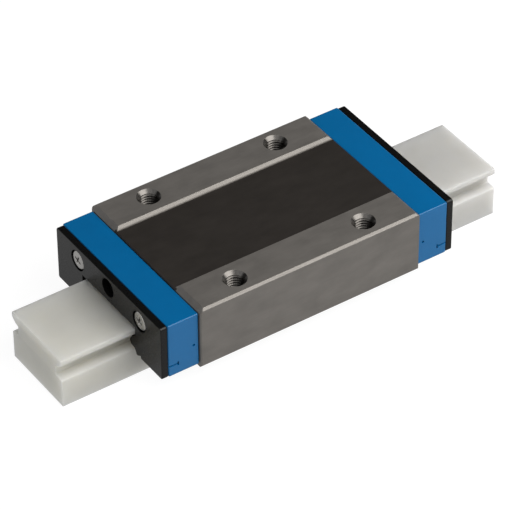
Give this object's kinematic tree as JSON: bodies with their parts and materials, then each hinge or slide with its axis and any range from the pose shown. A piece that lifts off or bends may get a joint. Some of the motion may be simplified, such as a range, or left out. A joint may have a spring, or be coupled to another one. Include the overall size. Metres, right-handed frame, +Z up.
{
  "type": "linear guide carriage",
  "caption": "Miniature recirculating-ball linear guide carriage: steel casing with tapped lands, end plates and end seals, held on a plastic dummy rail until it is mounted.",
  "frame": {"origin": "underside of the dummy rail, in the middle of its width, midway between the two ends of the steel casing", "axes": "+X along the travel, towards the rear end; +Y across, towards the left side as seen from the front; +Z up, out of the mounting lands"},
  "size_m": [0.0853, 0.032, 0.016],
  "materials": {
    "casing_steel": "ground and lightly polished",
    "blue_plastic": "satin moulded",
    "guide_plastic": "satin moulded",
    "seal_rubber": "semi-gloss moulded",
    "screw_steel": "bright plated",
    "wire_steel": "drawn, bright",
    "sleeve_resin": "porous, oil-filled",
    "ball_steel": "mirror polished",
    "rail_plastic": "translucent, satin moulded"
  },
  "bodies": {
    "carriage": {"casing": "casing_steel", "front_end_plate": "blue_plastic", "rear_end_plate": "blue_plastic", "front_left_return_guide": "guide_plastic", "front_right_return_guide": "guide_plastic", "rear_left_return_guide": "guide_plastic", "rear_right_return_guide": "guide_plastic", "front_end_seal": "seal_rubber", "rear_end_seal": "seal_rubber", "front_left_end_screw": "screw_steel", "front_right_end_screw": "screw_steel", "rear_left_end_screw": "screw_steel", "rear_right_end_screw": "screw_steel", "left_retaining_wire": "wire_steel", "right_retaining_wire": "wire_steel", "left_lubricant_sleeve": "sleeve_resin", "right_lubricant_sleeve": "sleeve_resin", "left_return_balls": "ball_steel", "right_return_balls": "ball_steel"},
    "dummy_rail": {"dummy_rail": "rail_plastic"},
    "left_ball_01": {"left_ball_01": "ball_steel"},
    "left_ball_02": {"left_ball_02": "ball_steel"},
    "left_ball_03": {"left_ball_03": "ball_steel"},
    "left_ball_04": {"left_ball_04": "ball_steel"},
    "left_ball_05": {"left_ball_05": "ball_steel"},
    "left_ball_06": {"left_ball_06": "ball_steel"},
    "left_ball_07": {"left_ball_07": "ball_steel"},
    "left_ball_08": {"left_ball_08": "ball_steel"},
    "left_ball_09": {"left_ball_09": "ball_steel"},
    "left_ball_10": {"left_ball_10": "ball_steel"},
    "left_ball_11": {"left_ball_11": "ball_steel"},
    "left_ball_12": {"left_ball_12": "ball_steel"},
    "left_ball_13": {"left_ball_13": "ball_steel"},
    "front_left_turn_ball_1": {"front_left_turn_ball_1": "ball_steel"},
    "front_left_turn_ball_2": {"front_left_turn_ball_2": "ball_steel"},
    "rear_left_turn_ball_1": {"rear_left_turn_ball_1": "ball_steel"},
    "rear_left_turn_ball_2": {"rear_left_turn_ball_2": "ball_steel"},
    "right_ball_01": {"right_ball_01": "ball_steel"},
    "right_ball_02": {"right_ball_02": "ball_steel"},
    "right_ball_03": {"right_ball_03": "ball_steel"},
    "right_ball_04": {"right_ball_04": "ball_steel"},
    "right_ball_05": {"right_ball_05": "ball_steel"},
    "right_ball_06": {"right_ball_06": "ball_steel"},
    "right_ball_07": {"right_ball_07": "ball_steel"},
    "right_ball_08": {"right_ball_08": "ball_steel"},
    "right_ball_09": {"right_ball_09": "ball_steel"},
    "right_ball_10": {"right_ball_10": "ball_steel"},
    "right_ball_11": {"right_ball_11": "ball_steel"},
    "right_ball_12": {"right_ball_12": "ball_steel"},
    "right_ball_13": {"right_ball_13": "ball_steel"},
    "front_right_turn_ball_1": {"front_right_turn_ball_1": "ball_steel"},
    "front_right_turn_ball_2": {"front_right_turn_ball_2": "ball_steel"},
    "rear_right_turn_ball_1": {"rear_right_turn_ball_1": "ball_steel"},
    "rear_right_turn_ball_2": {"rear_right_turn_ball_2": "ball_steel"}
  },
  "joints": [
    {"name": "rail_slide", "type": "slide", "parent": "carriage", "child": "dummy_rail", "axis": [1, 0, 0], "range_m": [-0.076, 0.075]},
    {"name": "left_ball_01_spin", "type": "hinge", "parent": "carriage", "child": "left_ball_01", "pos_m": [-0.01963, 0.0084, 0.0067], "axis": [0, 0, 1], "continuous": true},
    {"name": "left_ball_02_spin", "type": "hinge", "parent": "carriage", "child": "left_ball_02", "pos_m": [-0.01636, 0.0084, 0.0067], "axis": [0, 0, 1], "continuous": true},
    {"name": "left_ball_03_spin", "type": "hinge", "parent": "carriage", "child": "left_ball_03", "pos_m": [-0.01309, 0.0084, 0.0067], "axis": [0, 0, 1], "continuous": true},
    {"name": "left_ball_04_spin", "type": "hinge", "parent": "carriage", "child": "left_ball_04", "pos_m": [-0.00982, 0.0084, 0.0067], "axis": [0, 0, 1], "continuous": true},
    {"name": "left_ball_05_spin", "type": "hinge", "parent": "carriage", "child": "left_ball_05", "pos_m": [-0.00654, 0.0084, 0.0067], "axis": [0, 0, 1], "continuous": true},
    {"name": "left_ball_06_spin", "type": "hinge", "parent": "carriage", "child": "left_ball_06", "pos_m": [-0.00327, 0.0084, 0.0067], "axis": [0, 0, 1], "continuous": true},
    {"name": "left_ball_07_spin", "type": "hinge", "parent": "carriage", "child": "left_ball_07", "pos_m": [0, 0.0084, 0.0067], "axis": [0, 0, 1], "continuous": true},
    {"name": "left_ball_08_spin", "type": "hinge", "parent": "carriage", "child": "left_ball_08", "pos_m": [0.00327, 0.0084, 0.0067], "axis": [0, 0, 1], "continuous": true},
    {"name": "left_ball_09_spin", "type": "hinge", "parent": "carriage", "child": "left_ball_09", "pos_m": [0.00654, 0.0084, 0.0067], "axis": [0, 0, 1], "continuous": true},
    {"name": "left_ball_10_spin", "type": "hinge", "parent": "carriage", "child": "left_ball_10", "pos_m": [0.00982, 0.0084, 0.0067], "axis": [0, 0, 1], "continuous": true},
    {"name": "left_ball_11_spin", "type": "hinge", "parent": "carriage", "child": "left_ball_11", "pos_m": [0.01309, 0.0084, 0.0067], "axis": [0, 0, 1], "continuous": true},
    {"name": "left_ball_12_spin", "type": "hinge", "parent": "carriage", "child": "left_ball_12", "pos_m": [0.01636, 0.0084, 0.0067], "axis": [0, 0, 1], "continuous": true},
    {"name": "left_ball_13_spin", "type": "hinge", "parent": "carriage", "child": "left_ball_13", "pos_m": [0.01963, 0.0084, 0.0067], "axis": [0, 0, 1], "continuous": true},
    {"name": "front_left_turn_ball_1_spin", "type": "hinge", "parent": "carriage", "child": "front_left_turn_ball_1", "pos_m": [-0.02279, 0.00895, 0.0067], "axis": [0, 0, 1], "continuous": true},
    {"name": "front_left_turn_ball_2_spin", "type": "hinge", "parent": "carriage", "child": "front_left_turn_ball_2", "pos_m": [-0.02279, 0.01215, 0.0067], "axis": [0, 0, 1], "continuous": true},
    {"name": "rear_left_turn_ball_1_spin", "type": "hinge", "parent": "carriage", "child": "rear_left_turn_ball_1", "pos_m": [0.02279, 0.00895, 0.0067], "axis": [0, 0, 1], "continuous": true},
    {"name": "rear_left_turn_ball_2_spin", "type": "hinge", "parent": "carriage", "child": "rear_left_turn_ball_2", "pos_m": [0.02279, 0.01215, 0.0067], "axis": [0, 0, 1], "continuous": true},
    {"name": "right_ball_01_spin", "type": "hinge", "parent": "carriage", "child": "right_ball_01", "pos_m": [-0.01963, -0.0084, 0.0067], "axis": [0, 0, 1], "continuous": true},
    {"name": "right_ball_02_spin", "type": "hinge", "parent": "carriage", "child": "right_ball_02", "pos_m": [-0.01636, -0.0084, 0.0067], "axis": [0, 0, 1], "continuous": true},
    {"name": "right_ball_03_spin", "type": "hinge", "parent": "carriage", "child": "right_ball_03", "pos_m": [-0.01309, -0.0084, 0.0067], "axis": [0, 0, 1], "continuous": true},
    {"name": "right_ball_04_spin", "type": "hinge", "parent": "carriage", "child": "right_ball_04", "pos_m": [-0.00982, -0.0084, 0.0067], "axis": [0, 0, 1], "continuous": true},
    {"name": "right_ball_05_spin", "type": "hinge", "parent": "carriage", "child": "right_ball_05", "pos_m": [-0.00654, -0.0084, 0.0067], "axis": [0, 0, 1], "continuous": true},
    {"name": "right_ball_06_spin", "type": "hinge", "parent": "carriage", "child": "right_ball_06", "pos_m": [-0.00327, -0.0084, 0.0067], "axis": [0, 0, 1], "continuous": true},
    {"name": "right_ball_07_spin", "type": "hinge", "parent": "carriage", "child": "right_ball_07", "pos_m": [0, -0.0084, 0.0067], "axis": [0, 0, 1], "continuous": true},
    {"name": "right_ball_08_spin", "type": "hinge", "parent": "carriage", "child": "right_ball_08", "pos_m": [0.00327, -0.0084, 0.0067], "axis": [0, 0, 1], "continuous": true},
    {"name": "right_ball_09_spin", "type": "hinge", "parent": "carriage", "child": "right_ball_09", "pos_m": [0.00654, -0.0084, 0.0067], "axis": [0, 0, 1], "continuous": true},
    {"name": "right_ball_10_spin", "type": "hinge", "parent": "carriage", "child": "right_ball_10", "pos_m": [0.00982, -0.0084, 0.0067], "axis": [0, 0, 1], "continuous": true},
    {"name": "right_ball_11_spin", "type": "hinge", "parent": "carriage", "child": "right_ball_11", "pos_m": [0.01309, -0.0084, 0.0067], "axis": [0, 0, 1], "continuous": true},
    {"name": "right_ball_12_spin", "type": "hinge", "parent": "carriage", "child": "right_ball_12", "pos_m": [0.01636, -0.0084, 0.0067], "axis": [0, 0, 1], "continuous": true},
    {"name": "right_ball_13_spin", "type": "hinge", "parent": "carriage", "child": "right_ball_13", "pos_m": [0.01963, -0.0084, 0.0067], "axis": [0, 0, 1], "continuous": true},
    {"name": "front_right_turn_ball_1_spin", "type": "hinge", "parent": "carriage", "child": "front_right_turn_ball_1", "pos_m": [-0.02279, -0.00895, 0.0067], "axis": [0, 0, 1], "continuous": true},
    {"name": "front_right_turn_ball_2_spin", "type": "hinge", "parent": "carriage", "child": "front_right_turn_ball_2", "pos_m": [-0.02279, -0.01215, 0.0067], "axis": [0, 0, 1], "continuous": true},
    {"name": "rear_right_turn_ball_1_spin", "type": "hinge", "parent": "carriage", "child": "rear_right_turn_ball_1", "pos_m": [0.02279, -0.00895, 0.0067], "axis": [0, 0, 1], "continuous": true},
    {"name": "rear_right_turn_ball_2_spin", "type": "hinge", "parent": "carriage", "child": "rear_right_turn_ball_2", "pos_m": [0.02279, -0.01215, 0.0067], "axis": [0, 0, 1], "continuous": true}
  ],
  "couplings": [
    {"joint": "left_ball_01_spin", "follows": "rail_slide", "rad_per_m": 445.42},
    {"joint": "left_ball_02_spin", "follows": "rail_slide", "rad_per_m": 445.42},
    {"joint": "left_ball_03_spin", "follows": "rail_slide", "rad_per_m": 445.42},
    {"joint": "left_ball_04_spin", "follows": "rail_slide", "rad_per_m": 445.42},
    {"joint": "left_ball_05_spin", "follows": "rail_slide", "rad_per_m": 445.42},
    {"joint": "left_ball_06_spin", "follows": "rail_slide", "rad_per_m": 445.42},
    {"joint": "left_ball_07_spin", "follows": "rail_slide", "rad_per_m": 445.42},
    {"joint": "left_ball_08_spin", "follows": "rail_slide", "rad_per_m": 445.42},
    {"joint": "left_ball_09_spin", "follows": "rail_slide", "rad_per_m": 445.42},
    {"joint": "left_ball_10_spin", "follows": "rail_slide", "rad_per_m": 445.42},
    {"joint": "left_ball_11_spin", "follows": "rail_slide", "rad_per_m": 445.42},
    {"joint": "left_ball_12_spin", "follows": "rail_slide", "rad_per_m": 445.42},
    {"joint": "left_ball_13_spin", "follows": "rail_slide", "rad_per_m": 445.42},
    {"joint": "front_left_turn_ball_1_spin", "follows": "rail_slide", "rad_per_m": -314.96},
    {"joint": "front_left_turn_ball_2_spin", "follows": "rail_slide", "rad_per_m": -314.96},
    {"joint": "rear_left_turn_ball_1_spin", "follows": "rail_slide", "rad_per_m": -314.96},
    {"joint": "rear_left_turn_ball_2_spin", "follows": "rail_slide", "rad_per_m": -314.96},
    {"joint": "right_ball_01_spin", "follows": "rail_slide", "rad_per_m": -445.42},
    {"joint": "right_ball_02_spin", "follows": "rail_slide", "rad_per_m": -445.42},
    {"joint": "right_ball_03_spin", "follows": "rail_slide", "rad_per_m": -445.42},
    {"joint": "right_ball_04_spin", "follows": "rail_slide", "rad_per_m": -445.42},
    {"joint": "right_ball_05_spin", "follows": "rail_slide", "rad_per_m": -445.42},
    {"joint": "right_ball_06_spin", "follows": "rail_slide", "rad_per_m": -445.42},
    {"joint": "right_ball_07_spin", "follows": "rail_slide", "rad_per_m": -445.42},
    {"joint": "right_ball_08_spin", "follows": "rail_slide", "rad_per_m": -445.42},
    {"joint": "right_ball_09_spin", "follows": "rail_slide", "rad_per_m": -445.42},
    {"joint": "right_ball_10_spin", "follows": "rail_slide", "rad_per_m": -445.42},
    {"joint": "right_ball_11_spin", "follows": "rail_slide", "rad_per_m": -445.42},
    {"joint": "right_ball_12_spin", "follows": "rail_slide", "rad_per_m": -445.42},
    {"joint": "right_ball_13_spin", "follows": "rail_slide", "rad_per_m": -445.42},
    {"joint": "front_right_turn_ball_1_spin", "follows": "rail_slide", "rad_per_m": 314.96},
    {"joint": "front_right_turn_ball_2_spin", "follows": "rail_slide", "rad_per_m": 314.96},
    {"joint": "rear_right_turn_ball_1_spin", "follows": "rail_slide", "rad_per_m": 314.96},
    {"joint": "rear_right_turn_ball_2_spin", "follows": "rail_slide", "rad_per_m": 314.96}
  ]
}
